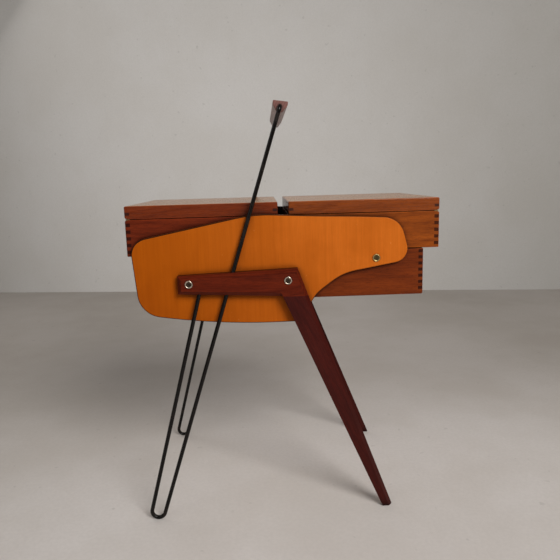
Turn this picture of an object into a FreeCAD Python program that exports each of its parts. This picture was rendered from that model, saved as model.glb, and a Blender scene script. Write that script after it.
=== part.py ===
import FreeCAD, Part
import math
import os

# A sewing box on four legs, in millimetres. X runs along the box, -Y is the front, +Z is up,
# and the origin is on the floor under the middle of the box.
#
# A long finger-jointed lower box hangs between two shaped plywood side panels. Two trays slide
# apart on it, each guided by a stopped groove that runs on a small batten inside each panel.
# Each tray has a framed lid on a piano hinge at its outer end. A tapered wooden arm and leg are
# bolted through each panel, and a bent steel rod makes the hairpin leg and carries the handle.

Vector = FreeCAD.Vector

# ---- driving dimensions -------------------------------------------------------------------
WALL = 8.0                     # thickness of every box, tray and lid side
PLY = 4.0                      # thickness of the bottoms
BOTTOM_RAISE = 5.0             # a bottom lies this far above its sides' lower edge
BOTTOM_HOUSING = 3.0           # and is let this far into them

BOX_HALF_LENGTH = 225.0
BOX_HALF_WIDTH = 130.0
BOX_BOTTOM, BOX_TOP = 366.0, 441.0
BOX_FINGERS = (1.3, 5.04, 7)   # gap above the first pin, finger height, number of pins

TRAY_INNER, TRAY_OUTER = 8.5, 250.0
TRAY_HALF_WIDTH = 129.2
TRAY_BOTTOM, TRAY_TOP = 442.0, 500.5
TRAY_FINGERS = (5.6, 5.35, 5)
DIVIDER_X, DIVIDER_THICK, DIVIDER_TOP = 92.0, 5.0, 490.0
DIVIDER_HOUSING = 2.0

LID_BOTTOM, LID_TOP = 501.5, 522.0
LID_FINGERS = (10.2, 4.4, 1)
LID_PANEL_THICK = 5.0
LID_OUTER_R = 3.2
LID_PANEL_INSET = 4.0          # rim of the rails that shows round the lid's panel

# The lid hinges at the bottom of a V notch, whose two bevels meet when it is fully open.
NOTCH_DEPTH = 3.0
NOTCH_BEVEL = 50.5             # degrees, each bevel from the horizontal
HINGE_X, HINGE_Z = TRAY_OUTER - NOTCH_DEPTH, (TRAY_TOP + LID_BOTTOM) / 2
BARREL_R, HINGE_PIN_R, PIN_CLEARANCE = 1.6, 0.75, 0.05
HINGE_HALF_LENGTH = 128.0
KNUCKLES = 15
KNUCKLE_GAP = 0.3
LEAF_THICK, LEAF_GAP = 0.8, 0.2
HINGE_NAILS = 7
NAIL_R, NAIL_HEAD_R, NAIL_HEAD_THICK, NAIL_LENGTH = 0.5, 1.0, 0.4, 6.0
NAIL_END_MARGIN = 8.0
PAD_R, PAD_Y, PAD_FREE = 2.8, 105.0, 0.02     # felt pads under the lid's free end

PANEL_THICK = 8.0
PANEL_OUTER = BOX_HALF_WIDTH + PANEL_THICK
PANEL_EDGE_R = 1.8
# Corners of the side panel's outline and the radius of each, clockwise from the upper left.
PANEL_OUTLINE = [
    (-243.8, 466.1, 27.0),
    (-47.6, 504.4, 235.0),
    (184.5, 492.1, 35.0),
    (203.0, 424.9, 22.5),
    (93.0, 406.0, 88.0),
    (49.0, 373.3, 59.0),
    (26.0, 328.9, 15.0),
    (-110.0, 328.1, 1100.0),
    (-234.5, 348.5, 40.0),
]

RUNNER_CENTRE, RUNNER_HALF_LENGTH = 160.0, 20.0
RUNNER_Z, RUNNER_R = 459.7, 3.7
RUNNER_THICK, GROOVE_DEPTH = 3.8, 3.5
RUNNER_CLEARANCE = 0.3
RUNNER_SCREW_OFFSET = 10.0
RUNNER_SCREW_R, RUNNER_SCREW_HEAD_R, RUNNER_SCREW_LENGTH = 1.2, 2.4, 9.5
RUNNER_SLOT_WIDTH, RUNNER_SLOT_DEPTH = 0.6, 0.5
TRAY_TRAVEL = 115.0

ARM_THICK = 18.0
ARM_OUTER = PANEL_OUTER + ARM_THICK
ARM_BEVEL = 6.0                # on the arm's outer face, and on the leg's outer side
ARM_LEFT = -170.0              # the arm's free end
ARM_LEFT_LOW, ARM_LEFT_HIGH = 382.6, 411.5
ARM_CORNER = (20.0, 418.0)     # top of the arm over the leg
JOINT_Z = 374.5                # the leg is doweled to the arm at this height
JOINT_LEFT, JOINT_RIGHT = -4.6, 35.9
FOOT_WIDTH = 17.0
FOOT_CORNER_R = 2.0
FRONT_FOOT_X, BACK_FOOT_X = 165.3, 175.8   # the back leg stands a little further out
LEG_TAPER = 8.0                # the leg gets thinner by this much on its outer face
DOWEL_X = (5.0, 20.0)
DOWEL_R, DOWEL_HALF_LENGTH = 3.0, 11.0

ROD_R = 3.25
ROD_FIT = 0.02                 # radial clearance in the drilled arm and handle
ROD_FOOT_X, ROD_FOOT_Y = -223.4, 157.0
ROD_BEND_R = 11.0              # centreline radius of the hairpin's foot
ROD_TOP_BEND_R = 6.0
ROD_LEAN_MAIN, ROD_LEAN_SHORT = 17.93, 14.9   # degrees from upright, in the rod's own plane
ROD_SHORT_TOP = 402.0          # the short side ends inside the arm
ROD_HOLE_FROM, ROD_HOLE_TO = 300.0, 500.0     # stretch of the main side drilled through the arm
ARM_MIDDLE_Y = PANEL_OUTER + ARM_THICK / 2
ARM_HOLE_Z = 400.0

HANDLE_Z = 666.6               # height of the rods' sockets
HANDLE_HALF_LENGTH = 134.0
HANDLE_TOP, HANDLE_SHOULDER, HANDLE_BOTTOM = 8.2, 2.2, -8.8    # heights from the sockets
HANDLE_TOP_WIDTH, HANDLE_BOTTOM_WIDTH = 23.4, 9.0
HANDLE_TOP_R, HANDLE_SHOULDER_R, HANDLE_BOTTOM_R, HANDLE_END_R = 1.5, 4.0, 3.0, 1.0
HANDLE_TILT = 8.0              # degrees, the top leans towards +X
HANDLE_SOCKET = 26.0           # depth of each blind hole

ARM_BOLTS = [(-151.6, 399.0), (4.0, 400.2)]
PANEL_SCREW = (146.9, 429.2)
BOLT_R, BOLT_HEAD_R, BOLT_HEAD_TOP = 2.5, 4.2, 1.1
SCREW_R = 2.0
SCREW_TIP_Y = BOX_HALF_WIDTH - WALL + 1.5
CROSS_LENGTH, CROSS_WIDTH, CROSS_DEPTH = 4.8, 1.2, 1.5
ARM_BOLT_TURNS, PANEL_SCREW_TURN = (40.0, 10.0), 30.0
BOLT_PROUD = 1.5               # length of bolt that shows past its nut
CUP_R, CUP_HEIGHT = 6.3, 1.8
NUT_ACROSS_CORNERS, NUT_THICK = 9.2, 4.0
NUT_WASHER_R, NUT_WASHER_THICK = 5.0, 1.0

nodes = {}                     # node name -> shape


# ---- small helpers ------------------------------------------------------------------------
def block(x0, x1, y0, y1, z0, z1):
    return Part.makeBox(x1 - x0, y1 - y0, z1 - z0, Vector(x0, y0, z0))


def mirror_y(shape):
    return shape.mirror(Vector(0, 0, 0), Vector(0, 1, 0))


def mirror_x(shape):
    return shape.mirror(Vector(0, 0, 0), Vector(1, 0, 0))


def front_and_back(solids):
    return solids + [mirror_y(solid) for solid in solids]


def on_four_corners(solids):
    return front_and_back(solids + [mirror_x(solid) for solid in solids])


def add(name, solids, pieces=1):
    """Keep a node, checking that it is made of the right number of sound solids."""
    found = [solid for shape in solids for solid in shape.Solids]
    assert len(found) == pieces, "%s has %d solids, not %d" % (name, len(found), pieces)
    for solid in found:
        assert solid.isValid() and solid.isClosed() and solid.Volume > 0, name
    nodes[name] = found[0] if pieces == 1 else Part.makeCompound(found)


def rod_along_y(radius, x, z, y0, y1):
    return Part.makeCylinder(radius, y1 - y0, Vector(x, y0, z), Vector(0, 1, 0))


def outline_face(corners):
    """A face in the XZ plane whose corners (x, z, radius) are rounded by tangent arcs."""
    edges = []
    count = len(corners)
    joins = []
    for i, (x, z, radius) in enumerate(corners):
        here = Vector(x, 0, z)
        before = Vector(corners[i - 1][0], 0, corners[i - 1][1])
        after = Vector(corners[(i + 1) % count][0], 0, corners[(i + 1) % count][1])
        joins.append(arc_points(here, (here - before).normalize(), (after - here).normalize(), radius))
    for i, (start, middle, end) in enumerate(joins):
        if start != end:
            edges.append(Part.Arc(start, middle, end).toShape())
        edges.append(Part.LineSegment(end, joins[(i + 1) % count][0]).toShape())
    return Part.Face(Part.Wire(edges))


def arc_points(corner, heading_in, heading_out, radius):
    """Start, middle and end of the arc that rounds a corner between two headings."""
    if radius == 0:
        return corner, corner, corner
    half_turn = heading_in.getAngle(heading_out) / 2
    reach = radius * math.tan(half_turn)
    inward = (heading_out - heading_in).normalize()
    centre = corner + inward * (radius / math.cos(half_turn))
    return corner - heading_in * reach, centre - inward * radius, corner + heading_out * reach


def slab(corners, y0, y1):
    """The rounded outline as a solid from y0 to y1."""
    face = outline_face(corners)
    face.translate(Vector(0, y0, 0))
    return face.extrude(Vector(0, y1 - y0, 0))


def stadium(x0, x1, z, radius, y0, y1):
    """A bar along X with round ends, from y0 to y1."""
    bar = block(x0 + radius, x1 - radius, y0, y1, z - radius, z + radius)
    ends = [rod_along_y(radius, x, z, y0, y1) for x in (x0 + radius, x1 - radius)]
    return bar.fuse(ends).removeSplitter()


def edges_where(shape, test):
    return [e for e in shape.Edges if all(test(v.Point) for v in e.Vertexes)]


def upright(edge):
    a, b = edge.Vertexes[0].Point, edge.Vertexes[-1].Point
    return abs(a.x - b.x) < 1e-6 and abs(a.y - b.y) < 1e-6


def soft_block(x0, x1, y0, y1, z0, z1, corner_r, bottom_r, top_r):
    """A block whose upright, lower and upper edges are rounded."""
    shape = block(x0, x1, y0, y1, z0, z1)
    shape = shape.makeFillet(corner_r, [e for e in shape.Edges if upright(e)])
    shape = shape.makeFillet(bottom_r, edges_where(shape, lambda p: abs(p.z - z0) < 1e-6))
    return shape.makeFillet(top_r, edges_where(shape, lambda p: abs(p.z - z1) < 1e-6))


def finger_spans(top, fingers):
    """Heights (low, high) at which the end boards show on the front face."""
    gap, height, count = fingers
    return [(top - gap - height * (2 * i + 1), top - gap - height * 2 * i) for i in range(count)]


def finger_jointed(x0, x1, half_width, z0, z1, fingers, envelope):
    """Front, back, low-x and high-x boards of a box, finger-jointed and cut to its envelope."""
    front = block(x0, x1, -half_width, -half_width + WALL, z0, z1)
    ends = {}
    inner = half_width - WALL
    for label, a in (("low", x0), ("high", x1 - WALL)):
        end = block(a, a + WALL, -inner, inner, z0, z1)
        for low, high in finger_spans(z1, fingers):
            pin = block(a, a + WALL, -half_width, -inner, low, high)
            front = front.cut(pin)
            end = end.fuse([pin, mirror_y(pin)])
        ends[label] = end.removeSplitter()
    boards = {"front": front, "back": mirror_y(front), **ends}
    return {name: board.common(envelope) for name, board in boards.items()}


def housed_bottom(x0, x1, half_width, z0):
    """A plywood bottom let into the inner faces of the four sides."""
    let = WALL - BOTTOM_HOUSING
    base = z0 + BOTTOM_RAISE
    return block(x0 + let, x1 - let, -half_width + let, half_width - let, base, base + PLY)


# ---- lower box ----------------------------------------------------------------------------
def make_lower_box(fasteners):
    envelope = soft_block(-BOX_HALF_LENGTH, BOX_HALF_LENGTH, -BOX_HALF_WIDTH, BOX_HALF_WIDTH,
                          BOX_BOTTOM, BOX_TOP, 2.5, 2.5, 0.8)
    boards = finger_jointed(-BOX_HALF_LENGTH, BOX_HALF_LENGTH, BOX_HALF_WIDTH,
                            BOX_BOTTOM, BOX_TOP, BOX_FINGERS, envelope)
    bottom = housed_bottom(-BOX_HALF_LENGTH, BOX_HALF_LENGTH, BOX_HALF_WIDTH, BOX_BOTTOM)
    names = {"front": "lower_box_front_board", "back": "lower_box_back_board",
             "low": "lower_box_left_end", "high": "lower_box_right_end"}
    for key, name in names.items():
        board = boards[key].cut(bottom)
        if key == "front":
            board = board.cut(fasteners)
        if key == "back":
            board = board.cut([mirror_y(fastener) for fastener in fasteners])
        add(name, [board])
    add("lower_box_bottom", [bottom])


# ---- trays, lids and their hinges: the right-hand ones, which are then mirrored ------------
def notch_wedge(upward):
    """The wedge outside one bevel of the V notch at the tray's outer end."""
    reach = 20.0
    rise = reach * math.tan(math.radians(NOTCH_BEVEL)) * (1 if upward else -1)
    corners = [(HINGE_X, HINGE_Z, 0), (HINGE_X + reach, HINGE_Z, 0), (HINGE_X + reach, HINGE_Z + rise, 0)]
    return slab(corners, -TRAY_HALF_WIDTH - 1, TRAY_HALF_WIDTH + 1)


def barrel_room():
    return rod_along_y(BARREL_R + KNUCKLE_GAP, HINGE_X, HINGE_Z, -TRAY_HALF_WIDTH, TRAY_HALF_WIDTH)


def leaf_heights(upper):
    """Lower and upper face of a hinge leaf."""
    if upper:
        return HINGE_Z + LEAF_GAP, HINGE_Z + LEAF_GAP + LEAF_THICK
    return HINGE_Z - LEAF_GAP - LEAF_THICK, HINGE_Z - LEAF_GAP


LEAF_INNER = TRAY_OUTER - WALL + 0.2
LEAF_OUTER = HINGE_X - BARREL_R - KNUCKLE_GAP


def leaf_room(upper):
    """The shallow rebate that a hinge leaf lies in, from the inner face to the hinge line."""
    low, high = leaf_heights(upper)
    return block(TRAY_OUTER - WALL - 0.1, HINGE_X, -TRAY_HALF_WIDTH, TRAY_HALF_WIDTH,
                 HINGE_Z if upper else low, high if upper else HINGE_Z)


def make_leaf(upper):
    """One leaf of the piano hinge: a strip with every other knuckle."""
    low, high = leaf_heights(upper)
    leaf = block(LEAF_INNER, LEAF_OUTER, -HINGE_HALF_LENGTH, HINGE_HALF_LENGTH, low, high)
    pitch = 2 * HINGE_HALF_LENGTH / KNUCKLES
    for i in range(1 if upper else 0, KNUCKLES, 2):
        y0 = -HINGE_HALF_LENGTH + i * pitch + KNUCKLE_GAP / 2
        y1 = y0 + pitch - KNUCKLE_GAP
        leaf = leaf.fuse([block(LEAF_OUTER - 0.5, HINGE_X, y0, y1, low, high),
                          rod_along_y(BARREL_R, HINGE_X, HINGE_Z, y0, y1)])
    leaf = leaf.removeSplitter()
    return leaf.cut(rod_along_y(HINGE_PIN_R + PIN_CLEARANCE, HINGE_X, HINGE_Z,
                                -TRAY_HALF_WIDTH, TRAY_HALF_WIDTH))


def hinge_nails(upper):
    """Small brass nails whose heads lie flush in a leaf."""
    low, high = leaf_heights(upper)
    face, down = (low, 1) if upper else (high, -1)
    x = (LEAF_INNER + LEAF_OUTER) / 2
    first = -HINGE_HALF_LENGTH + NAIL_END_MARGIN
    spacing = -2 * first / (HINGE_NAILS - 1)
    way = Vector(0, 0, down)
    nails = []
    for i in range(HINGE_NAILS):
        at = Vector(x, first + i * spacing, face)
        head = Part.makeCylinder(NAIL_HEAD_R, NAIL_HEAD_THICK, at, way)
        nails.append(head.fuse(Part.makeCylinder(NAIL_R, NAIL_LENGTH, at, way)).removeSplitter())
    return nails


def groove():
    """The stopped groove in the tray's front that runs on the batten, from closed to open."""
    left = RUNNER_CENTRE - RUNNER_HALF_LENGTH - TRAY_TRAVEL - RUNNER_CLEARANCE
    right = RUNNER_CENTRE + RUNNER_HALF_LENGTH + RUNNER_CLEARANCE
    return stadium(left, right, RUNNER_Z, RUNNER_R + RUNNER_CLEARANCE,
                   -TRAY_HALF_WIDTH - 1, -TRAY_HALF_WIDTH + GROOVE_DEPTH)


def rest_pads():
    """Two small felt pads on the tray's inner end, on which the closed lid lies."""
    x = TRAY_INNER + WALL / 2
    return [Part.makeCylinder(PAD_R, LID_BOTTOM - TRAY_TOP - PAD_FREE, Vector(x, y, TRAY_TOP))
            for y in (-PAD_Y, PAD_Y)]


def make_tray():
    envelope = soft_block(TRAY_INNER, TRAY_OUTER, -TRAY_HALF_WIDTH, TRAY_HALF_WIDTH,
                          TRAY_BOTTOM, TRAY_TOP, 1.8, 1.5, 0.7)
    envelope = envelope.cut([notch_wedge(upward=False), barrel_room(), leaf_room(upper=False)])
    boards = finger_jointed(TRAY_INNER, TRAY_OUTER, TRAY_HALF_WIDTH, TRAY_BOTTOM, TRAY_TOP,
                            TRAY_FINGERS, envelope)
    bottom = housed_bottom(TRAY_INNER, TRAY_OUTER, TRAY_HALF_WIDTH, TRAY_BOTTOM)
    reach = TRAY_HALF_WIDTH - WALL + DIVIDER_HOUSING
    divider = block(DIVIDER_X, DIVIDER_X + DIVIDER_THICK, -reach, reach,
                    TRAY_BOTTOM + BOTTOM_RAISE + PLY, DIVIDER_TOP)
    nails = hinge_nails(upper=False)
    cuts = [bottom, divider, groove(), mirror_y(groove())] + nails
    leaf = make_leaf(upper=False).cut(nails)
    return {
        "tray_front_board": boards["front"].cut(cuts),
        "tray_back_board": boards["back"].cut(cuts),
        "tray_inner_end": boards["low"].cut(cuts),
        "tray_outer_end": boards["high"].cut(cuts),
        "tray_bottom": bottom,
        "tray_divider": divider,
        "tray_rest_pads": rest_pads(),
        "hinge_tray_leaf": leaf,
        "hinge_tray_nails": nails,
        "hinge_pin": rod_along_y(HINGE_PIN_R, HINGE_X, HINGE_Z, -HINGE_HALF_LENGTH, HINGE_HALF_LENGTH),
    }


def rounded_outer_edge():
    """The lid's block with only its upper outer edge rounded, where hands wear it."""
    shape = block(TRAY_INNER, TRAY_OUTER, -TRAY_HALF_WIDTH, TRAY_HALF_WIDTH, LID_BOTTOM, LID_TOP)
    return shape.makeFillet(LID_OUTER_R, edges_where(shape, lambda p: p.x > TRAY_OUTER - 1
                                                     and p.z > LID_TOP - 1))


def make_lid():
    envelope = soft_block(TRAY_INNER, TRAY_OUTER, -TRAY_HALF_WIDTH, TRAY_HALF_WIDTH,
                          LID_BOTTOM, LID_TOP, 1.8, 0.7, 1.5)
    envelope = envelope.common(rounded_outer_edge())
    envelope = envelope.cut([notch_wedge(upward=True), barrel_room(), leaf_room(upper=True)])
    boards = finger_jointed(TRAY_INNER, TRAY_OUTER, TRAY_HALF_WIDTH, LID_BOTTOM, LID_TOP,
                            LID_FINGERS, envelope)
    inset = LID_PANEL_INSET
    panel = block(TRAY_INNER + inset, TRAY_OUTER - inset, -TRAY_HALF_WIDTH + inset,
                  TRAY_HALF_WIDTH - inset, LID_TOP - LID_PANEL_THICK, LID_TOP)
    nails = hinge_nails(upper=True)
    cuts = [panel] + nails
    return {
        "lid_front_rail": boards["front"].cut(cuts),
        "lid_back_rail": boards["back"].cut(cuts),
        "lid_inner_rail": boards["low"].cut(cuts),
        "lid_outer_rail": boards["high"].cut(cuts),
        "lid_panel": panel,
        "hinge_lid_leaf": make_leaf(upper=True).cut(nails),
        "hinge_lid_nails": nails,
    }


def make_trays_and_lids():
    for name, made in {**make_tray(), **make_lid()}.items():
        solids = made if isinstance(made, list) else [made]
        add("right_" + name, solids, len(solids))
        add("left_" + name, [mirror_x(solid) for solid in solids], len(solids))


# ---- fasteners, along Y at the front; y is measured outwards from the face they sit on ----
def turned(profile, x, z, face):
    """A ring or head turned about Y from (radius, height above the face) points."""
    points = [Vector(r, -height, 0) for r, height in profile]
    outline = Part.Face(Part.makePolygon(points + points[:1]))
    shape = outline.revolve(Vector(0, 0, 0), Vector(0, 1, 0), 360)
    shape.translate(Vector(x, -face, z))
    return shape


def cup_washer(x, z, face):
    inner = BOLT_HEAD_R + 0.05
    return turned([(inner - BOLT_HEAD_TOP, 0), (CUP_R, 0), (CUP_R - 0.25, 0.75), (CUP_R - 0.8, 1.4),
                   (CUP_R - 1.35, CUP_HEIGHT), (inner + 0.2, CUP_HEIGHT - 0.15), (inner, BOLT_HEAD_TOP)],
                  x, z, face)


def countersunk_screw(x, z, face, shank_r, tip_y):
    """A countersunk screw that sits in a cup washer, without its recess."""
    depth = BOLT_HEAD_R - shank_r
    head = turned([(0, BOLT_HEAD_TOP), (BOLT_HEAD_R, BOLT_HEAD_TOP), (shank_r, BOLT_HEAD_TOP - depth),
                   (0, BOLT_HEAD_TOP - depth)], x, z, face)
    shank = rod_along_y(shank_r, x, z, -face - BOLT_HEAD_TOP + depth, -tip_y)
    return head.fuse(shank).removeSplitter()


def cross_recess(x, z, face, turn):
    """The cross-shaped driver recess in a screw's head, turned about Y by some degrees."""
    half_long, half_wide = CROSS_LENGTH / 2, CROSS_WIDTH / 2
    y0, y1 = -face - BOLT_HEAD_TOP - 1, -face - BOLT_HEAD_TOP + CROSS_DEPTH
    recess = block(x - half_long, x + half_long, y0, y1, z - half_wide, z + half_wide)
    recess = recess.fuse(block(x - half_wide, x + half_wide, y0, y1, z - half_long, z + half_long))
    recess.rotate(Vector(x, 0, z), Vector(0, 1, 0), turn)
    return recess


def hex_nut(x, z, face):
    """A nut on the inner side of the box wall, which is face away from the middle."""
    radius = NUT_ACROSS_CORNERS / 2
    points = [Vector(x + radius * math.cos(math.radians(60 * i)), -face,
                     z + radius * math.sin(math.radians(60 * i))) for i in range(7)]
    nut = Part.Face(Part.makePolygon(points)).extrude(Vector(0, NUT_THICK, 0))
    return nut.cut(rod_along_y(BOLT_R + 0.02, x, z, -face - 1, -face + NUT_THICK + 1))


def make_fasteners():
    """Front fasteners, whose mirror images are the back ones; returns them without recesses."""
    wall_inner = BOX_HALF_WIDTH - WALL
    nut_face = wall_inner - NUT_WASHER_THICK
    bolts, recessed, cups, nuts, washers = [], [], [], [], []
    for (x, z), turn in zip(ARM_BOLTS, ARM_BOLT_TURNS):
        bolt = countersunk_screw(x, z, ARM_OUTER, BOLT_R, nut_face - NUT_THICK - BOLT_PROUD)
        bolts.append(bolt)
        recessed.append(bolt.cut(cross_recess(x, z, ARM_OUTER, turn)))
        cups.append(cup_washer(x, z, ARM_OUTER))
        nuts.append(hex_nut(x, z, nut_face))
        washer = rod_along_y(NUT_WASHER_R, x, z, -wall_inner, -nut_face)
        washers.append(washer.cut(rod_along_y(BOLT_R + 0.3, x, z, -wall_inner, -nut_face)))
    x, z = PANEL_SCREW
    screw = countersunk_screw(x, z, PANEL_OUTER, SCREW_R, SCREW_TIP_Y)
    groups = {"arm_bolts": recessed, "arm_cup_washers": cups, "arm_bolt_nuts": nuts,
              "arm_nut_washers": washers,
              "panel_screws": [screw.cut(cross_recess(x, z, PANEL_OUTER, PANEL_SCREW_TURN))],
              "panel_cup_washers": [cup_washer(x, z, PANEL_OUTER)]}
    for name, solids in groups.items():
        add(name, front_and_back(solids), 2 * len(solids))
    return bolts, screw


def runner_screw(x):
    """A small countersunk screw, its head flush with the batten's inner face."""
    face = -BOX_HALF_WIDTH + RUNNER_THICK
    sink = RUNNER_SCREW_HEAD_R - RUNNER_SCREW_R
    head = Part.makeCone(RUNNER_SCREW_R, RUNNER_SCREW_HEAD_R, sink,
                         Vector(x, face - sink, RUNNER_Z), Vector(0, 1, 0))
    shank = rod_along_y(RUNNER_SCREW_R, x, RUNNER_Z, face - RUNNER_SCREW_LENGTH, face - sink)
    return head.fuse(shank).removeSplitter()


def make_runners():
    """Battens with round ends inside the panels, and the screws that hold them."""
    xs = [RUNNER_CENTRE + side * RUNNER_SCREW_OFFSET for side in (-1, 1)]
    plain = [runner_screw(x) for x in xs]
    batten = stadium(RUNNER_CENTRE - RUNNER_HALF_LENGTH, RUNNER_CENTRE + RUNNER_HALF_LENGTH,
                     RUNNER_Z, RUNNER_R, -BOX_HALF_WIDTH, -BOX_HALF_WIDTH + RUNNER_THICK).cut(plain)
    face = -BOX_HALF_WIDTH + RUNNER_THICK
    half = RUNNER_SLOT_WIDTH / 2
    screws = []
    for x, screw in zip(xs, plain):
        slot = block(x - 3, x + 3, face - RUNNER_SLOT_DEPTH, face + 1, RUNNER_Z - half, RUNNER_Z + half)
        screws.append(screw.cut(slot))
    add("tray_runners", on_four_corners([batten]), 4)
    add("runner_screws", on_four_corners(screws), 8)
    return plain + [mirror_x(screw) for screw in plain]


# ---- side panels, arms and legs -----------------------------------------------------------
def make_panels(fasteners):
    panel = slab(PANEL_OUTLINE, -PANEL_OUTER, -BOX_HALF_WIDTH)
    front_edges = edges_where(panel, lambda p: abs(p.y + PANEL_OUTER) < 1e-6)
    panel = panel.makeFillet(PANEL_EDGE_R, front_edges).cut(fasteners)
    add("front_side_panel", [panel])
    add("back_side_panel", [mirror_y(panel)])


def edge_bevel(start, end, margin=30.0):
    """What a bevel takes off the outer face along an edge that has the wood on its right hand."""
    along = (end - start).normalize()
    inward = Vector(along.z, 0, -along.x).normalize()
    first = start - along * margin
    out, deep = Vector(0, -1, 0), ARM_BEVEL + 1
    corners = [first + inward * deep + out, first - inward + out, first - inward - out * deep]
    section = Part.Face(Part.makePolygon(corners + corners[:1]))
    return section.extrude(along * ((end - start).Length + 2 * margin))


def make_arm():
    """The front arm, whose outer face is bevelled all round except where the leg joins it."""
    outline = [(ARM_LEFT, ARM_LEFT_LOW), (ARM_LEFT, ARM_LEFT_HIGH), ARM_CORNER,
               (JOINT_RIGHT, JOINT_Z), (JOINT_LEFT, JOINT_Z)]
    arm = slab([(x, z, 0) for x, z in outline], -ARM_OUTER, -PANEL_OUTER)
    left_low, left_high, corner, joint_right, joint_left = [Vector(x, -ARM_OUTER, z) for x, z in outline]
    slope = (FRONT_FOOT_X - FOOT_WIDTH / 2 - JOINT_LEFT) / JOINT_Z
    over_leg = slab([(JOINT_LEFT + slope * 10, JOINT_Z - 10, 0), (JOINT_RIGHT, JOINT_Z - 10, 0),
                     (JOINT_RIGHT, JOINT_Z + 20, 0), (JOINT_LEFT - slope * 20, JOINT_Z + 20, 0)],
                    -ARM_OUTER - 1, -PANEL_OUTER)
    bevels = [edge_bevel(left_low, left_high), edge_bevel(left_high, corner),
              edge_bevel(corner, joint_right), edge_bevel(joint_left, left_low).cut(over_leg)]
    return arm.cut(bevels)


def make_leg(foot_x):
    """A front leg, tapered in width and on its outer face, with the arm's bevel down one side."""
    corners = [(JOINT_LEFT, JOINT_Z, 0), (JOINT_RIGHT, JOINT_Z, 0),
               (foot_x + FOOT_WIDTH / 2, 0, FOOT_CORNER_R), (foot_x - FOOT_WIDTH / 2, 0, FOOT_CORNER_R)]
    leg = slab(corners, -ARM_OUTER, -PANEL_OUTER)
    top, foot = Vector(JOINT_LEFT, -ARM_OUTER, JOINT_Z), Vector(JOINT_LEFT, -ARM_OUTER, 0)
    wedge = Part.Face(Part.makePolygon([top, foot, foot + Vector(0, LEG_TAPER, 0), top]))
    leg = leg.cut(wedge.extrude(Vector(foot_x + FOOT_WIDTH - JOINT_LEFT, 0, 0)))
    return leg.cut(edge_bevel(Vector(JOINT_RIGHT, -ARM_OUTER, JOINT_Z),
                              Vector(foot_x + FOOT_WIDTH / 2, -ARM_OUTER + LEG_TAPER, 0)))


def make_arms_and_legs(bolts, rod_holes):
    dowels = [Part.makeCylinder(DOWEL_R, 2 * DOWEL_HALF_LENGTH,
                                Vector(x, -ARM_MIDDLE_Y, JOINT_Z - DOWEL_HALF_LENGTH)) for x in DOWEL_X]
    arm = make_arm().cut(dowels + bolts + rod_holes)
    add("front_arm", [arm])
    add("back_arm", [mirror_y(arm)])
    add("front_leg", [make_leg(FRONT_FOOT_X).cut(dowels)])
    add("back_leg", [mirror_y(make_leg(BACK_FOOT_X).cut(dowels))])
    add("leg_dowels", front_and_back(dowels), 4)


# ---- rods and handle ----------------------------------------------------------------------
def rod_point(x, height):
    """A point of the front rod's plane, which leans inwards; height is along the plane."""
    rise = height - ROD_R
    lean = math.atan2(ROD_FOOT_Y - ARM_MIDDLE_Y, ARM_HOLE_Z)
    return Vector(x, -ROD_FOOT_Y + rise * math.sin(lean), ROD_R + rise * math.cos(lean))


def lean_vector(degrees):
    angle = math.radians(degrees)
    return math.sin(angle), math.cos(angle)


def rod_route():
    """Edges of the rod's centreline, and the two straights that pass through the arm."""
    centre = (ROD_FOOT_X, ROD_R + ROD_BEND_R)
    main, short = lean_vector(ROD_LEAN_MAIN), lean_vector(ROD_LEAN_SHORT)
    main_low = (centre[0] + ROD_BEND_R * main[1], centre[1] - ROD_BEND_R * main[0])
    short_low = (centre[0] - ROD_BEND_R * short[1], centre[1] + ROD_BEND_R * short[0])

    def up(start, way, height):
        return start[0] + way[0] * (height - start[1]) / way[1], height

    short_top = rod_point(*up(short_low, short, ROD_SHORT_TOP))
    short_foot, bottom, main_foot = (rod_point(*short_low), rod_point(centre[0], ROD_R),
                                     rod_point(*main_low))
    corner = rod_point(*up(main_low, main, HANDLE_Z))
    corner.z = HANDLE_Z
    rise = (corner - main_foot).normalize()
    bend = arc_points(corner, rise, Vector(0, 1, 0), ROD_TOP_BEND_R)
    inside = Vector(corner.x, -HANDLE_HALF_LENGTH + HANDLE_SOCKET - 1, HANDLE_Z)
    edges = [
        Part.LineSegment(short_top, short_foot).toShape(),
        Part.Arc(short_foot, bottom, main_foot).toShape(),
        Part.LineSegment(main_foot, bend[0]).toShape(),
        Part.Arc(*bend).toShape(),
        Part.LineSegment(bend[2], inside).toShape(),
    ]
    return edges, (short_foot, short_top), (main_foot, bend[0]), inside


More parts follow.
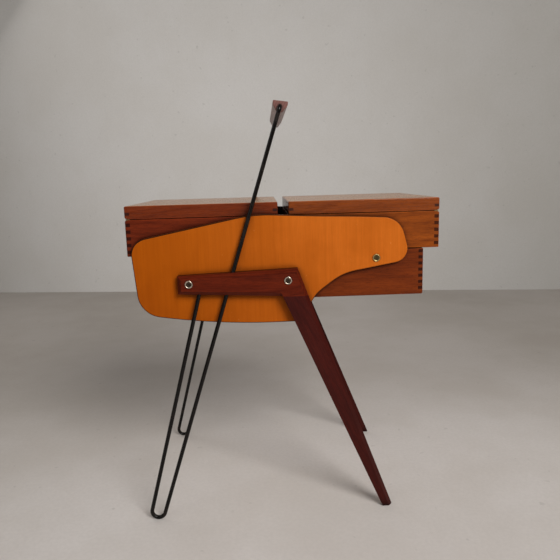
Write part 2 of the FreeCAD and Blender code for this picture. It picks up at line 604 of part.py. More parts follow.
def make_rods_and_handle():
    edges, short_run, main_run, inside = rod_route()
    path = Part.Wire(edges)
    start, along = short_run[1], (short_run[0] - short_run[1]).normalize()
    ring = Part.Wire(Part.makeCircle(ROD_R, start, along))
    rod = Part.Solid(path.makePipeShell([ring], True, False))
    expected = math.pi * ROD_R ** 2 * path.Length
    print("rod volume over section times length: %.5f" % (rod.Volume / expected))
    add("front_rod", [rod])
    add("back_rod", [mirror_y(rod)])

    top, bottom = HANDLE_TOP_WIDTH / 2, HANDLE_BOTTOM_WIDTH / 2
    half_section = [(bottom, HANDLE_BOTTOM, HANDLE_BOTTOM_R), (top, HANDLE_SHOULDER, HANDLE_SHOULDER_R),
                    (top, HANDLE_TOP, HANDLE_TOP_R)]
    other_half = [(-x, z, radius) for x, z, radius in reversed(half_section)]
    grip = slab(half_section + other_half, -HANDLE_HALF_LENGTH, HANDLE_HALF_LENGTH)
    for end in (-HANDLE_HALF_LENGTH, HANDLE_HALF_LENGTH):
        grip = grip.makeFillet(HANDLE_END_R, edges_where(grip, lambda p: abs(p.y - end) < 1e-6))
    grip.rotate(Vector(0, 0, 0), Vector(0, 1, 0), HANDLE_TILT)
    grip.translate(Vector(inside.x, 0, HANDLE_Z))
    socket = rod_along_y(ROD_R + ROD_FIT, inside.x, HANDLE_Z, -HANDLE_HALF_LENGTH - 1,
                         -HANDLE_HALF_LENGTH + HANDLE_SOCKET)
    add("handle", [grip.cut([socket, mirror_y(socket)])])

    return [arm_hole(*short_run), arm_hole(main_run[0], main_run[1], ROD_HOLE_TO)]


def arm_hole(low, high, end=None):
    """A drill from below the arm to the end of the rod's short side, or to the given distance."""
    way = (high - low).normalize()
    end = end or (high - low).Length
    return Part.makeCylinder(ROD_R + ROD_FIT, end - ROD_HOLE_FROM, low + way * ROD_HOLE_FROM, way)


# ---- build and export ---------------------------------------------------------------------
def main():
    bolts, screw = make_fasteners()
    runner_screws = make_runners()
    make_lower_box(bolts + [screw])
    make_trays_and_lids()
    make_panels(bolts + [screw] + runner_screws)
    make_arms_and_legs(bolts, make_rods_and_handle())

    os.makedirs("parts", exist_ok=True)
    for name, shape in sorted(nodes.items()):
        shape.exportStep("parts/%s.step" % name)
    print("%d nodes" % len(nodes))


main()
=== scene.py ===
import math
import random

import bmesh
import bpy
from mathutils import Matrix, Vector


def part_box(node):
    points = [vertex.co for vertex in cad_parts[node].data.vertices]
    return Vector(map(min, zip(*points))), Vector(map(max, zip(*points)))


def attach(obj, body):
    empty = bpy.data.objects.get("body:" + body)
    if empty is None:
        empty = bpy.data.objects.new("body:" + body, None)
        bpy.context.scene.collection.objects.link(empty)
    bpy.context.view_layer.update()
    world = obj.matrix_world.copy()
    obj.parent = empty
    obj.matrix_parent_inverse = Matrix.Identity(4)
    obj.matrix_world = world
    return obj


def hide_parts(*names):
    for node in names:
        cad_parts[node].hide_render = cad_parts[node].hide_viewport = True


# The looks of a sewing box on four legs, in metres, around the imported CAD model: procedural
# woods, lacquered plywood, enamelled rods and metal fixings, a pale studio and the camera.

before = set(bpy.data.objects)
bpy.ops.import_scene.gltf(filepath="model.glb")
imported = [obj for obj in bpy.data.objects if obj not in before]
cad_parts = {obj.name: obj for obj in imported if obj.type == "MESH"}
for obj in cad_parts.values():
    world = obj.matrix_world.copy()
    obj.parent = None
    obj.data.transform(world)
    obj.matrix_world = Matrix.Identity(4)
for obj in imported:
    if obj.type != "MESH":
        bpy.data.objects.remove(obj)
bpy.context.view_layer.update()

X_AXIS, Y_AXIS, Z_AXIS = Vector((1, 0, 0)), Vector((0, 1, 0)), Vector((0, 0, 1))
MM = 0.001


# ---- node trees ---------------------------------------------------------------------------
class Paint:
    """A procedural material. Its short calls add nodes and return their output sockets."""

    def __init__(self, name):
        self.material = bpy.data.materials.new(name)
        self.material.use_nodes = True
        self.tree = self.material.node_tree
        self.shader = self.tree.nodes["Principled BSDF"]
        coordinates = self.tree.nodes.new("ShaderNodeTexCoord")
        self.place = coordinates.outputs["Object"]
        self.facing = coordinates.outputs["Normal"]

    def put(self, socket, value):
        if isinstance(value, bpy.types.NodeSocket):
            self.tree.links.new(value, socket)
        else:
            socket.default_value = value

    def node(self, kind, inputs, output=0, **settings):
        made = self.tree.nodes.new("ShaderNode" + kind)
        for key, value in settings.items():
            setattr(made, key, value)
        for key, value in inputs.items():
            self.put(made.inputs[key], value)
        return made.outputs[output]

    def calc(self, operation, a, b=0.0, c=0.0):
        return self.node("Math", {0: a, 1: b, 2: c}, operation=operation)

    def vector(self, operation, a, b):
        output = 1 if operation in ("DOT_PRODUCT", "LENGTH") else 0
        return self.node("VectorMath", {0: a, 1: b}, output, operation=operation)

    def join(self, x, y, z):
        return self.node("CombineXYZ", {0: x, 1: y, 2: z})

    def noise(self, vector, scale, detail=2.0, roughness=0.5):
        return self.node("TexNoise", {"Vector": vector, "Scale": scale, "Detail": detail,
                                      "Roughness": roughness})

    def steps(self, value, low, high, to_low=0.0, to_high=1.0):
        """A smooth step from to_low to to_high as value goes from low to high."""
        return self.node("MapRange", {"Value": value, "From Min": low, "From Max": high,
                                      "To Min": to_low, "To Max": to_high},
                         interpolation_type="SMOOTHSTEP")

    def mix(self, factor, a, b, blend="MIX"):
        return self.node("Mix", {0: factor, 6: a, 7: b}, 2, data_type="RGBA", blend_type=blend)

    def occlusion_mask(self, reach, open_at=0.93, shut_at=0.42):
        """Ambient occlusion as a mask for painted shade: 1 deep in corners and beside things that stand
        within reach, 0 in the open.
        """
        light = self.node("AmbientOcclusion", {"Distance": reach}, "AO", samples=8)
        return self.steps(light, shut_at, open_at, 1.0, 0.0)

    def bump(self, height, strength, distance):
        normal = self.node("Bump", {"Height": height, "Strength": strength, "Distance": distance})
        self.put(self.shader.inputs["Normal"], normal)

    def finish(self, **values):
        for key, value in values.items():
            self.put(self.shader.inputs[key.replace("_", " ")], value)
        return self.material


def rgb(r, g, b):
    return (r, g, b, 1.0)


def scaled(colour, factor):
    return rgb(*(min(1.0, c * factor) for c in colour[:3]))


def corners_of(node):
    low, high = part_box(node)
    return Vector(low), Vector(high)


def centre_of(node):
    low, high = corners_of(node)
    return (low + high) / 2


def edge_distance(paint, node):
    """Distance along the surface of a box-like node to its nearest long edge."""
    low, high = corners_of(node)
    inside = []
    for axis, place in enumerate(paint.node("SeparateXYZ", {0: paint.place}).node.outputs):
        middle, half = (low[axis] + high[axis]) / 2, (high[axis] - low[axis]) / 2
        off = paint.calc("ABSOLUTE", paint.calc("SUBTRACT", place, middle))
        inside.append(paint.calc("SUBTRACT", half, off))
    a, b, c = inside
    larger = paint.calc("MAXIMUM", a, b)
    return paint.calc("MAXIMUM", paint.calc("MINIMUM", a, b), paint.calc("MINIMUM", larger, c))


# ---- woods --------------------------------------------------------------------------------
def across_grain(grain):
    """Two directions square to the grain, the second as near to upright as it can be."""
    hint = Z_AXIS if abs(grain.z) < 0.8 else X_AXIS
    side = grain.cross(hint).normalized()
    return side, side.cross(grain).normalized()


# Where a board's pith lies, from the board's middle, and how far it leans per metre.
PITH_BEHIND, PITH_ABOVE, PITH_LEAN = (0.030, 0.060), 0.03, 0.05


class Grain:
    """A board's own axes, along its grain and square to it, and the patterns that follow them."""

    def __init__(self, paint, grain, node, seed):
        self.paint = paint
        self.direction = grain
        self.draw = random.Random(seed)
        self.side, self.rise = across_grain(grain)
        self.centre = centre_of(node)
        self.along = paint.vector("DOT_PRODUCT", paint.place, grain)
        self.across = paint.vector("DOT_PRODUCT", paint.place, self.side)
        self.up = paint.vector("DOT_PRODUCT", paint.place, self.rise)
        shift = Vector([self.draw.uniform(-3, 3) for _ in range(3)])
        self.grid = paint.vector("ADD", paint.join(self.along, self.across, self.up), shift)

    def noise(self, lengthways, crossways, detail=2.0):
        """Noise stretched along the grain, in cycles per metre along it and across it."""
        stretched = self.paint.vector("MULTIPLY", self.grid, (lengthways, crossways, crossways))
        return self.paint.noise(stretched, 1.0, detail)

    def rings(self, spacing):
        """Growth rings round a pith that wanders along the board and leans a little."""
        paint, draw = self.paint, self.draw
        pith_side = self.side.dot(self.centre) + draw.choice((-1, 1)) * draw.uniform(*PITH_BEHIND)
        pith_rise = self.rise.dot(self.centre) + draw.uniform(-PITH_ABOVE, PITH_ABOVE)
        wander = paint.calc("MULTIPLY_ADD", self.noise(2.4, 0.4), 0.12, -0.06)
        lift = paint.calc("ADD", paint.calc("SUBTRACT", self.up, pith_rise), wander)
        depth = paint.calc("SUBTRACT", self.across, pith_side)
        distance = paint.vector("LENGTH", paint.join(0.0, depth, lift), (0, 0, 0))
        ripple = paint.calc("MULTIPLY", self.noise(7, 34, 3.0), 0.007)
        lean = paint.calc("MULTIPLY_ADD", self.along, draw.uniform(-PITH_LEAN, PITH_LEAN), ripple)
        distance = paint.calc("ADD", distance, lean)
        wave = paint.calc("SINE", paint.calc("MULTIPLY", distance, 2 * math.pi / spacing))
        return paint.calc("POWER", paint.calc("MULTIPLY_ADD", wave, 0.5, 0.5), 2.0)

    def figure(self, rings, contrast):
        """How dark the wood is, from its rings, clouds, streaks and flecks."""
        paint = self.paint
        clouds = paint.steps(self.noise(3, 14, 3.0), 0.32, 0.68)
        streaks = paint.steps(self.noise(9, 230, 3.0), 0.34, 0.70)
        flecks = paint.steps(self.noise(60, 620, 2.0), 0.42, 0.68)
        shade = paint.calc("MULTIPLY", rings, 0.22 * contrast)
        for part, weight in ((clouds, 0.30), (streaks, 0.24), (flecks, 0.24)):
            shade = paint.calc("MULTIPLY_ADD", part, weight * contrast, shade)
        return shade


def end_grain(paint, grain, rings, dark, ends):
    """Cut fibres drink more finish, so end grain is darker, with pore dots: (where, colour)."""
    dots = paint.steps(grain.noise(500, 1500, 2.0), 0.35, 0.7, 0.0, 0.5)
    shade = paint.calc("MULTIPLY_ADD", rings, 0.35, dots)
    colour = paint.mix(shade, scaled(dark, 0.36 * ends), scaled(dark, 0.14 * ends))
    square_on = paint.calc("ABSOLUTE", paint.vector("DOT_PRODUCT", paint.facing, grain.direction))
    return paint.steps(square_on, 0.62, 0.88), colour


def rubbed_edges(paint, grain, node):
    """Where handling has worn the finish off a board's edges, in patches."""
    rubbed = paint.steps(grain.noise(40, 40, 3.0), 0.36, 0.62, 0.15, 0.75)
    rim = paint.steps(edge_distance(paint, node), 0.3 * MM, 1.6 * MM, 1.0, 0.0)
    return paint.calc("MULTIPLY", rim, rubbed)


def wood(name, grain, tone, node, seed, ring=6 * MM, gloss=0.42, coat=0.0, contrast=1.0, worn=False,
         shine=0.1, upward_tone=None, ends=1.4):
    """Solid wood with its rings round a pith behind the board, flecks and pores along the
    grain, and darker end grain wherever a face is square to the grain."""
    paint = Paint(name)
    grain = Grain(paint, grain, node, seed)
    light, dark = scaled(tone, 1.45), rgb(tone[0] * 0.52, tone[1] * 0.42, tone[2] * 0.46)
    rings = grain.rings(ring)
    shade = grain.figure(rings, contrast)
    fibres = grain.noise(35, 1700)
    pores = paint.steps(grain.noise(150, 2400, 1.0), 0.60, 0.70)
    colour = paint.mix(shade, light, dark)
    # Faces that look upward are painted in a paler tone.
    if upward_tone:
        upward = paint.steps(paint.vector("DOT_PRODUCT", paint.facing, Z_AXIS), 0.5, 0.9)
        pale = paint.mix(shade, scaled(upward_tone, 1.25), scaled(upward_tone, 0.6))
        colour = paint.mix(upward, colour, pale)
    colour = paint.mix(paint.steps(fibres, 0.3, 0.75, 0.0, 0.20), colour, scaled(dark, 0.7))
    colour = paint.mix(paint.calc("MULTIPLY", pores, 0.50), colour, scaled(dark, 0.28))
    if worn:
        colour = paint.mix(rubbed_edges(paint, grain, node), colour, scaled(light, 1.35))

    end, end_colour = end_grain(paint, grain, rings, dark, ends)
    colour = paint.mix(end, colour, end_colour)
    # Painted shade: faces in corners and beside other parts are darkened where ambient occlusion finds
    # them.
    painted_shade = paint.calc("MULTIPLY", paint.occlusion_mask(24 * MM), 0.85)
    colour = paint.mix(painted_shade, colour, scaled(dark, 0.10))

    height = paint.calc("MULTIPLY_ADD", fibres, 0.35, paint.calc("MULTIPLY", pores, -1.0))
    height = paint.calc("MULTIPLY_ADD", rings, -0.12, height)
    paint.bump(height, 0.22, 0.25 * MM)
    rough = paint.steps(fibres, 0.3, 0.7, gloss - 0.05, gloss + 0.07)
    rough = paint.calc("MULTIPLY_ADD", end, 0.18, rough)
    return paint.finish(Base_Color=colour, Roughness=rough, Coat_Weight=coat, Coat_Roughness=0.12,
                        Specular_IOR_Level=shine)


# The left-hand trays and lids are painted darker and the right-hand ones lighter, as painted light and
# sheen from the right on the same teak.
LEFT_TRAY_SHADED, LEFT_LID_SHADED = rgb(0.140, 0.0195, 0.0048), rgb(0.158, 0.0258, 0.0055)
RIGHT_TRAY_LIT, RIGHT_LID_LIT = rgb(0.258, 0.0580, 0.0056), rgb(0.220, 0.0490, 0.0075)
LOWER_BOX = rgb(0.148, 0.0260, 0.0035)
ARM, LEG = rgb(0.108, 0.0125, 0.0030), rgb(0.047, 0.0050, 0.0029)
HANDLE = rgb(0.240, 0.125, 0.0950)
LID_TOP, BEECH = rgb(0.43, 0.185, 0.050), rgb(0.54, 0.34, 0.17)


def dress(node, material):
    """Give a CAD node one material all over."""
    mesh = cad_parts[node].data
    mesh.materials.clear()
    mesh.materials.append(material)
    for face in mesh.polygons:
        face.material_index = 0


def dress_in_teak():
    """Every solid teak board, with its grain along its length and its own tone."""
    boards = []
    for end, tray_tone, lid_tone in (("left", LEFT_TRAY_SHADED, LEFT_LID_SHADED), ("right", RIGHT_TRAY_LIT, RIGHT_LID_LIT)):
        for label, grain in (("front_board", X_AXIS), ("back_board", X_AXIS),
                             ("inner_end", Y_AXIS), ("outer_end", Y_AXIS)):
            boards.append((end + "_tray_" + label, grain, tray_tone))
        for label, grain in (("front_rail", X_AXIS), ("back_rail", X_AXIS), ("inner_rail", Y_AXIS),
                             ("outer_rail", Y_AXIS), ("panel", X_AXIS)):
            boards.append((end + "_lid_" + label, grain, lid_tone))
    for label, grain in (("front_board", X_AXIS), ("back_board", X_AXIS),
                         ("left_end", Y_AXIS), ("right_end", Y_AXIS)):
        boards.append(("lower_box_" + label, grain, LOWER_BOX))
    for seed, (node, grain, tone) in enumerate(boards):
        varied = scaled(tone, random.Random(seed * 7 + 3).uniform(0.95, 1.05))
        on_lid = "_lid_" in node
        dress(node, wood("teak_" + node, grain, varied, node, seed, gloss=0.26 if on_lid else 0.42,
                         coat=0.25 if on_lid else 0.0, worn=not node.endswith("panel"),
                         shine=0.2 if on_lid else 0.1, upward_tone=LID_TOP if on_lid else None))


def dress_in_dark_teak():
    """Arms, legs and handle, with the grain along each."""
    for side in ("front", "back"):
        arm = side + "_arm"
        dress(arm, wood("dark_teak_" + arm, X_AXIS, ARM, arm, 41, ring=4 * MM, gloss=0.38, contrast=1.2))
        leg = side + "_leg"
        low, high = corners_of(leg)
        grain = Vector((high.x - low.x, 0, low.z - high.z)).normalized()
        dress(leg, wood("dark_teak_" + leg, grain, LEG, leg, 43, ring=4 * MM, gloss=0.34, shine=0.14))
    dress("handle", wood("dark_teak_handle", Y_AXIS, HANDLE, "handle", 47, ring=3.5 * MM, gloss=0.34,
                         shine=0.3, ends=5.5))


def dress_in_beech():
    for node, grain in (("tray_runners", X_AXIS), ("leg_dowels", Z_AXIS)):
        dress(node, wood("beech_" + node, grain, BEECH, node, 53, ring=2 * MM, gloss=0.5, contrast=0.6))


# ---- plywoods -----------------------------------------------------------------------------
AMBER_DEEP, AMBER_LIT = rgb(0.372, 0.0770, 0.0014), rgb(0.570, 0.133, 0.0095)


def veneer_shade(paint, grid):
    """Soft figure, streaks and fibres of a veneer whose grain runs along the grid's first axis."""
    broad = paint.noise(paint.vector("MULTIPLY", grid, (2.6, 15, 15)), 1.0, 3.0, 0.55)
    narrow = paint.noise(paint.vector("MULTIPLY", grid, (5, 170, 170)), 1.0, 3.0)
    fibres = paint.noise(paint.vector("MULTIPLY", grid, (35, 1700, 1700)), 1.0, 2.0)
    return paint.steps(broad, 0.33, 0.68), paint.steps(narrow, 0.34, 0.68), fibres


def edge_layers(paint, depth, plies, pale, deep, glue):
    """Colours of plywood's edge across its thickness: plies in turn, with thin glue lines."""
    phase = paint.calc("MULTIPLY", depth, plies)
    turn = paint.calc("GREATER_THAN", paint.calc("PINGPONG", phase, 1.0), 0.5)
    ply = paint.mix(turn, pale, deep)
    line = paint.calc("ABSOLUTE", paint.calc("SUBTRACT", paint.calc("FRACT", phase), 0.5))
    return paint.mix(paint.steps(line, 0.05, 0.12, 1.0, 0.0), ply, glue)


def amber_plywood(name, seed):
    """Upright-grained veneer under amber lacquer, with dark plies on the edges."""
    low, high = corners_of(name)
    paint = Paint("amber_" + name)
    x, y, z = paint.node("SeparateXYZ", {0: paint.place}).node.outputs
    grid = paint.vector("ADD", paint.join(z, x, y), (seed * 1.7, seed * 0.9, 0.3))
    figure, streaks, fibres = veneer_shade(paint, grid)
    clouds = paint.steps(paint.noise(grid, 9.0, 4.0, 0.6), 0.35, 0.65)
    shade = paint.calc("MULTIPLY", figure, 0.24)
    shade = paint.calc("MULTIPLY_ADD", streaks, 0.24, shade)
    shade = paint.calc("MULTIPLY_ADD", clouds, 0.52, shade)
    # The amber is painted lighter towards the right end and the top, as painted light where the light falls
    # most.
    painted_light = paint.steps(paint.calc("MULTIPLY_ADD", z, 0.4, x), -0.05, 0.30)
    face = paint.mix(painted_light, AMBER_DEEP, AMBER_LIT)
    tint = paint.mix(shade, rgb(1.14, 1.18, 1.5), rgb(0.85, 0.80, 0.6))
    face = paint.mix(1.0, face, tint, "MULTIPLY")
    face = paint.mix(paint.steps(fibres, 0.35, 0.75, 0.0, 0.16), face, scaled(AMBER_DEEP, 0.6))
    nicks = paint.noise(paint.vector("MULTIPLY", grid, (160, 420, 420)), 1.0, 1.0)
    bruised = paint.noise(grid, 23.0, 1.0)
    nicks = paint.calc("MULTIPLY", paint.steps(nicks, 0.76, 0.80), paint.steps(bruised, 0.52, 0.60))
    face = paint.mix(paint.calc("MULTIPLY", nicks, 0.45), face, rgb(0.80, 0.42, 0.14))
    # Painted shade: the lacquer is painted darker in the corners beside the arm, where the arm shades it.
    painted_shade = paint.calc("MULTIPLY", paint.occlusion_mask(12 * MM), 0.55)
    face = paint.mix(painted_shade, face, rgb(0.080, 0.016, 0.003))
    # The inner face, towards the box, is painted dark as shade.
    inner_side = -Y_AXIS if low.y > 0 else Y_AXIS
    inward = paint.steps(paint.vector("DOT_PRODUCT", paint.facing, inner_side), 0.3, 0.7)
    painted_inner_shade = paint.mix(shade, rgb(0.030, 0.012, 0.008), rgb(0.012, 0.005, 0.004))
    face = paint.mix(inward, face, painted_inner_shade)
    across_thickness = paint.calc("MULTIPLY", paint.calc("SUBTRACT", y, low.y), 1.0 / (high.y - low.y))
    edge = edge_layers(paint, across_thickness, 5.0, rgb(0.34, 0.095, 0.016), rgb(0.13, 0.034, 0.010),
                       rgb(0.045, 0.013, 0.006))
    square_on = paint.calc("ABSOLUTE", paint.vector("DOT_PRODUCT", paint.facing, Y_AXIS))
    on_edge = paint.steps(square_on, 0.30, 0.60, 1.0, 0.0)
    # The rounded arris is painted nearly black as shade, most on the left and fading out towards the right.
    painted_shade_rim = paint.calc("MULTIPLY", paint.steps(square_on, 0.94, 0.999, 1.0, 0.0),
                       paint.steps(square_on, 0.05, 0.35))
    painted_shade_rim = paint.calc("MULTIPLY", painted_shade_rim, paint.steps(x, 0.02, 0.14, 0.97, 0.1))
    paint.bump(paint.calc("MULTIPLY_ADD", fibres, 0.4, streaks), 0.08, 0.2 * MM)
    rough = paint.steps(figure, 0.0, 1.0, 0.36, 0.44)
    colour = paint.mix(painted_shade_rim, paint.mix(on_edge, face, edge), rgb(0.016, 0.006, 0.003))
    return paint.finish(Base_Color=colour, Roughness=rough, Specular_IOR_Level=0.07)


def birch_plywood(node, grain):
    """Thin pale plywood, barely finished, for bottoms and dividers."""
    paint = Paint("birch_" + node)
    side, rise = across_grain(grain)
    parts = [paint.vector("DOT_PRODUCT", paint.place, axis) for axis in (grain, side, rise)]
    figure, streaks, fibres = veneer_shade(paint, paint.join(*parts))
    shade = paint.calc("ADD", paint.calc("MULTIPLY", figure, 0.5), paint.calc("MULTIPLY", streaks, 0.4))
    face = paint.mix(shade, rgb(0.60, 0.41, 0.23), rgb(0.44, 0.26, 0.12))
    colour = paint.mix(paint.steps(fibres, 0.35, 0.75, 0.0, 0.25), face, rgb(0.30, 0.16, 0.07))
    paint.bump(paint.calc("ADD", fibres, streaks), 0.12, 0.2 * MM)
    return paint.finish(Base_Color=colour, Roughness=paint.steps(fibres, 0.2, 0.8, 0.48, 0.62),
                        Specular_IOR_Level=0.4)


def dress_in_plywood():
    for seed, node in enumerate(("front_side_panel", "back_side_panel")):
        dress(node, amber_plywood(node, seed + 1))
    dress("lower_box_bottom", birch_plywood("lower_box_bottom", X_AXIS))
    for side in ("left", "right"):
        dress(side + "_tray_bottom", birch_plywood(side + "_tray_bottom", X_AXIS))
        dress(side + "_tray_divider", birch_plywood(side + "_tray_divider", Y_AXIS))


# ---- metals and felt ----------------------------------------------------------------------
def black_enamel():
    """Semi-gloss stoving enamel on drawn rod, a little orange-peeled and rubbed."""
    paint = Paint("black_enamel")
    peel = paint.noise(paint.place, 420.0, 2.0)
    rubbed = paint.steps(paint.noise(paint.place, 38.0, 4.0, 0.6), 0.52, 0.74)
    colour = paint.mix(rubbed, rgb(0.0035, 0.0024, 0.0020), rgb(0.012, 0.008, 0.006))
    paint.bump(peel, 0.18, 0.15 * MM)
    return paint.finish(Base_Color=colour, Roughness=paint.steps(rubbed, 0.0, 1.0, 0.18, 0.40),
                        Specular_IOR_Level=0.22)


def worn_metal(name, bright, dull, rough_low, rough_high):
    """Bare metal with fine scratches and a tarnish that gathers in patches."""
    paint = Paint(name)
    patches = paint.steps(paint.noise(paint.place, 240.0, 4.0, 0.65), 0.40, 0.70)
    scratches = paint.noise(paint.vector("MULTIPLY", paint.place, (900, 5200, 2600)), 1.0, 2.0)
    colour = paint.mix(patches, bright, dull)
    rough = paint.calc("ADD", paint.steps(patches, 0.0, 1.0, rough_low, rough_high),
                       paint.calc("MULTIPLY", scratches, 0.08))
    paint.bump(scratches, 0.12, 0.05 * MM)
    return paint.finish(Base_Color=colour, Metallic=1.0, Roughness=rough)


def wool_felt():
    paint = Paint("wool_felt")
    tangle = paint.noise(paint.place, 2600.0, 4.0, 0.7)
    clouds = paint.noise(paint.place, 300.0, 2.0)
    colour = paint.mix(tangle, rgb(0.045, 0.085, 0.050), rgb(0.12, 0.18, 0.12))
    colour = paint.mix(paint.steps(clouds, 0.3, 0.7, 0.0, 0.3), colour, rgb(0.03, 0.05, 0.03))
    paint.bump(tangle, 0.6, 0.3 * MM)
    return paint.finish(Base_Color=colour, Roughness=0.95, Sheen_Weight=0.4, Sheen_Roughness=0.5)


def dress_metals():
    """Rods, fixings and hinges, and the felt pads beside the hinges."""
    enamel = black_enamel()
    for node in ("front_rod", "back_rod"):
        dress(node, enamel)
    screw_steel = worn_metal("screw_steel", rgb(0.30, 0.275, 0.22), rgb(0.10, 0.085, 0.060), 0.32, 0.50)
    for node in ("arm_bolt_nuts", "arm_nut_washers", "runner_screws"):
        dress(node, screw_steel)
    browned = worn_metal("browned_bolt", rgb(0.100, 0.075, 0.055), rgb(0.030, 0.020, 0.015), 0.36, 0.52)
    dress("arm_bolts", browned)
    browned = worn_metal("browned_screw", rgb(0.15, 0.11, 0.05), rgb(0.055, 0.038, 0.018), 0.34, 0.52)
    dress("panel_screws", browned)
    brass = worn_metal("hinge_brass", rgb(0.46, 0.33, 0.16), rgb(0.20, 0.13, 0.06), 0.30, 0.48)
    for side in ("left", "right"):
        for label in ("tray_leaf", "tray_nails", "pin", "lid_leaf", "lid_nails"):
            dress(side + "_hinge_" + label, brass)
    felt = wool_felt()
    for side in ("left", "right"):
        dress(side + "_tray_rest_pads", felt)


# ---- domed cup washers --------------------------------------------------------------------
WASHER_OUTER, WASHER_INNER, WASHER_HEIGHT = 6.3 * MM, 4.25 * MM, 1.8 * MM
WASHER_SEAT, WASHER_LIP = 1.05 * MM, 0.12 * MM      # the seat's width, and its thickness at the hole
WASHER_TURNS = 64


def washer_outline(outer, inner, height):
    """(radius, height) points of a rolled rim from its foot over the crown to the seat."""
    crown = (outer + inner) / 2 + 0.15 * MM
    points = []
    for step in range(9):
        angle = math.radians(90 * step / 8)
        points.append((crown + (outer - crown) * math.cos(angle), height * math.sin(angle)))
    for step in range(1, 7):
        angle = math.radians(90 * step / 6)
        points.append((crown - (crown - inner) * math.sin(angle), height * (0.55 + 0.45 * math.cos(angle))))
    points.append((inner - WASHER_SEAT, WASHER_LIP))
    points.append((inner - WASHER_SEAT, 0.0))
    return points


def cup_washers(name, node, material):
    """Smooth turned washers in the places of a node's CAD washers."""
    mesh = bpy.data.meshes.new(name)
    build = bmesh.new()
    for centre, facing in washer_places(node):
        turn_washer(build, centre, facing)
    bmesh.ops.recalc_face_normals(build, faces=build.faces)
    build.to_mesh(mesh)
    build.free()
    mesh.shade_smooth()
    mesh.materials.append(material)
    washers = bpy.data.objects.new(name, mesh)
    bpy.context.collection.objects.link(washers)
    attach(washers, "frame")
    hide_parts(node)


def washer_places(node):
    """The foot centre of each washer in a node, found from its separate solids, and its side."""
    build = bmesh.new()
    build.from_mesh(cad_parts[node].data)
    left = set(build.verts)
    places = []
    while left:
        island, edge = set(), [left.pop()]
        while edge:
            vertex = edge.pop()
            island.add(vertex.co.copy().freeze())
            for link in vertex.link_edges:
                other = link.other_vert(vertex)
                if other in left:
                    left.remove(other)
                    edge.append(other)
        places.append(list(island))
    build.free()
    return merge_islands(places)


def merge_islands(islands):
    """Groups mesh islands of one washer, whose centres agree, into (foot centre, facing)."""
    found = {}
    for points in islands:
        middle = sum(points, Vector()) / len(points)
        found.setdefault((round(middle.x, 2), round(middle.z, 2), middle.y > 0), []).extend(points)
    places = []
    for points in found.values():
        lows = [min(p[i] for p in points) for i in range(3)]
        highs = [max(p[i] for p in points) for i in range(3)]
        facing = 1 if lows[1] > 0 else -1
        foot = lows[1] if facing > 0 else highs[1]
        places.append((Vector(((lows[0] + highs[0]) / 2, foot, (lows[2] + highs[2]) / 2)), facing))
    return places


def turn_washer(build, centre, facing):
    """Adds a washer that stands on its foot's centre and faces one way along Y."""
    rings = []
    for radius, height in washer_outline(WASHER_OUTER, WASHER_INNER, WASHER_HEIGHT):
        ring = []
        for step in range(WASHER_TURNS):
            angle = 2 * math.pi * step / WASHER_TURNS
            spot = Vector((radius * math.cos(angle), facing * height, radius * math.sin(angle)))
            ring.append(build.verts.new(centre + spot))
        rings.append(ring)
    for i, ring in enumerate(rings):
        following = rings[(i + 1) % len(rings)]
        for step in range(WASHER_TURNS):
            after = (step + 1) % WASHER_TURNS
            build.faces.new([ring[step], ring[after], following[after], following[step]])


def make_cup_washers():
    nickel = worn_metal("nickel_washer", rgb(0.74, 0.66, 0.55), rgb(0.45, 0.36, 0.27), 0.22, 0.40)
    old_brass = worn_metal("old_brass_washer", rgb(0.56, 0.43, 0.18), rgb(0.30, 0.20, 0.08), 0.26, 0.44)
    cup_washers("arm_washers_domed", "arm_cup_washers", nickel)
    cup_washers("panel_washers_domed", "panel_cup_washers", old_brass)


# ---- studio -------------------------------------------------------------------------------
WALL_Y, WALL_SLANT = 1.75, 0.145      # the wall isn't quite square to the object
WALL_HEIGHT, STAGE_REACH = 4, 7


def sheet_mesh(name, corners, material):
    """One flat sheet of the stage."""
    mesh = bpy.data.meshes.new(name)
    mesh.from_pydata(corners, [], [(0, 1, 2, 3)])
    mesh.materials.append(material)
    thing = bpy.data.objects.new(name, mesh)
    bpy.context.collection.objects.link(thing)


def plaster(paint, light, dark, tint, rough):
    """A plain matt surface with faint clouds, grit and pits, multiplied by a tint."""
    clouds = paint.steps(paint.noise(paint.place, 2.1, 5.0, 0.62), 0.34, 0.66)
    grit = paint.noise(paint.place, 150.0, 3.0, 0.6)
    pits = paint.steps(paint.noise(paint.place, 46.0, 2.0, 0.5), 0.70, 0.76)
    colour = paint.mix(clouds, light, dark)
    colour = paint.mix(paint.steps(grit, 0.3, 0.7, 0.0, 0.16), colour, scaled(dark, 0.75))
    colour = paint.mix(paint.calc("MULTIPLY", pits, 0.22), colour, scaled(dark, 0.45))
    colour = paint.mix(1.0, colour, tint, "MULTIPLY")
    paint.bump(paint.calc("MULTIPLY_ADD", pits, -1.0, grit), 0.15, 0.4 * MM)
    return paint.finish(Base_Color=colour, Roughness=rough, Specular_IOR_Level=0.25)


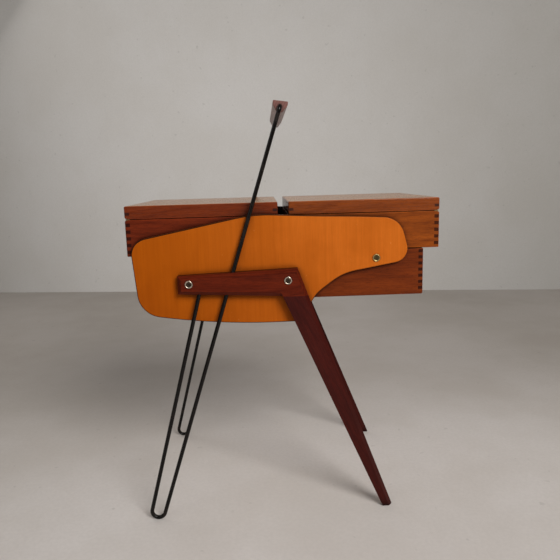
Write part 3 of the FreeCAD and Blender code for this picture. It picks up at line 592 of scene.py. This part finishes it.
def make_floor():
    """A pale floor with painted shade: painted darker far away, under the key light and well to either
    side.
    """
    paint = Paint("studio_floor")
    depth = paint.vector("DOT_PRODUCT", paint.place, Y_AXIS)
    # Painted shade: darker behind the object, darker again towards and under the key light, and dimmer to
    # either side.
    tint = paint.mix(paint.steps(depth, -0.20, 0.65), rgb(1.0, 1.0, 1.0), rgb(0.68, 0.665, 0.645))
    tint = paint.mix(paint.steps(depth, -3.2, -0.9, 1.0, 0.0), tint, rgb(0.40, 0.40, 0.39))
    aside = paint.calc("SUBTRACT", paint.vector("DOT_PRODUCT", paint.place, X_AXIS), 0.12)
    aside = paint.steps(paint.calc("ABSOLUTE", aside), 0.15, 0.90, 0.0, 1.0)
    dimmed = paint.mix(1.0, tint, rgb(0.83, 0.825, 0.81), "MULTIPLY")
    tint = paint.mix(aside, tint, dimmed)
    floor = plaster(paint, rgb(0.745, 0.705, 0.688), rgb(0.665, 0.620, 0.590), tint, 0.7)
    corners = [(x * STAGE_REACH, y * STAGE_REACH, 0) for x, y in ((-1, -1), (1, -1), (1, 1), (-1, 1))]
    sheet_mesh("studio_floor", corners, floor)


def make_wall():
    """A wall with painted light: painted brightest behind the object and darker away from it."""
    paint = Paint("studio_wall")
    # Painted light: the wall is painted darker with distance from a spot behind the object.
    away = paint.vector("SUBTRACT", paint.place, (-0.24, WALL_Y, 0.32))
    away = paint.vector("LENGTH", paint.vector("MULTIPLY", away, (1.0, 0.0, 0.75)), (0, 0, 0))
    tint = paint.mix(paint.steps(away, 0.15, 1.85), rgb(1.0, 1.0, 1.0), rgb(0.57, 0.565, 0.55))
    wall = plaster(paint, rgb(0.735, 0.718, 0.704), rgb(0.700, 0.678, 0.654), tint, 0.9)
    left_y, right_y = WALL_Y + STAGE_REACH * WALL_SLANT, WALL_Y - STAGE_REACH * WALL_SLANT
    corners = [(-STAGE_REACH, left_y, 0), (STAGE_REACH, right_y, 0),
               (STAGE_REACH, right_y, WALL_HEIGHT), (-STAGE_REACH, left_y, WALL_HEIGHT)]
    sheet_mesh("studio_wall", corners, wall)


def area_light(name, place, target, size, power, colour):
    light = bpy.data.lights.new(name, "AREA")
    light.shape = "DISK"
    light.size = size
    light.energy = power
    light.color = colour
    lamp = bpy.data.objects.new(name, light)
    lamp.location = place
    lamp.rotation_euler = (Vector(target) - Vector(place)).to_track_quat("-Z", "Y").to_euler()
    lamp.visible_camera = False
    bpy.context.collection.objects.link(lamp)


def make_world():
    """A pale overcast room: brighter overhead than at the horizon."""
    world = bpy.data.worlds.new("studio")
    world.use_nodes = True
    tree = world.node_tree
    direction = tree.nodes.new("ShaderNodeTexCoord")
    parts = tree.nodes.new("ShaderNodeSeparateXYZ")
    fade = tree.nodes.new("ShaderNodeMapRange")
    fade.interpolation_type = "SMOOTHSTEP"
    fade.inputs["From Min"].default_value = -0.1
    fade.inputs["From Max"].default_value = 0.9
    fade.inputs["To Min"].default_value = 0.12
    fade.inputs["To Max"].default_value = 0.20
    tree.links.new(direction.outputs["Generated"], parts.inputs[0])
    tree.links.new(parts.outputs["Z"], fade.inputs["Value"])
    background = tree.nodes["Background"]
    background.inputs["Color"].default_value = rgb(1.0, 0.975, 0.94)
    tree.links.new(fade.outputs[0], background.inputs["Strength"])
    bpy.context.scene.world = world


def light_studio():
    area_light("key", (2.0, -3.7, 3.0), (0, 0, 0.30), 2.4, 195, (1.0, 0.98, 0.95))
    area_light("fill", (-1.6, -1.5, 1.2), (0, 0, 0.35), 1.6, 5, (1.0, 0.98, 0.95))
    area_light("back", (-1.5, 1.2, 1.7), (0, 0, 0.35), 1.5, 6, (1.0, 0.98, 0.96))
    bpy.context.scene.view_settings.view_transform = "Standard"


CAMERA_PLACE = (-0.0334, -1.0262, 0.560)
CAMERA_YAW, CAMERA_PITCH, CAMERA_ROLL = 1.62, 10.32, -1.64      # degrees: right, down, anticlockwise
CAMERA_LENS = 36.25


def make_camera():
    """Low, straight in front, turned down a little and not quite level."""
    yaw, pitch, roll = (math.radians(a) for a in (CAMERA_YAW, CAMERA_PITCH, CAMERA_ROLL))
    ahead = Vector((math.sin(yaw), math.cos(yaw), 0))
    forward = ahead * math.cos(pitch) - Z_AXIS * math.sin(pitch)
    level = Vector((math.cos(yaw), -math.sin(yaw), 0))
    upright = level.cross(forward)
    right = math.cos(roll) * level + math.sin(roll) * upright
    up = -math.sin(roll) * level + math.cos(roll) * upright
    data = bpy.data.cameras.new("camera")
    data.sensor_width = 36.0
    data.lens = CAMERA_LENS
    camera = bpy.data.objects.new("camera", data)
    turn = Matrix((right, up, -forward)).transposed().to_4x4()
    camera.matrix_world = Matrix.Translation(CAMERA_PLACE) @ turn
    bpy.context.collection.objects.link(camera)
    bpy.context.scene.camera = camera


# ---- everything ---------------------------------------------------------------------------
dress_in_teak()
dress_in_dark_teak()
dress_in_beech()
dress_in_plywood()
dress_metals()
make_cup_washers()
make_floor()
make_wall()
make_world()
light_studio()
make_camera()
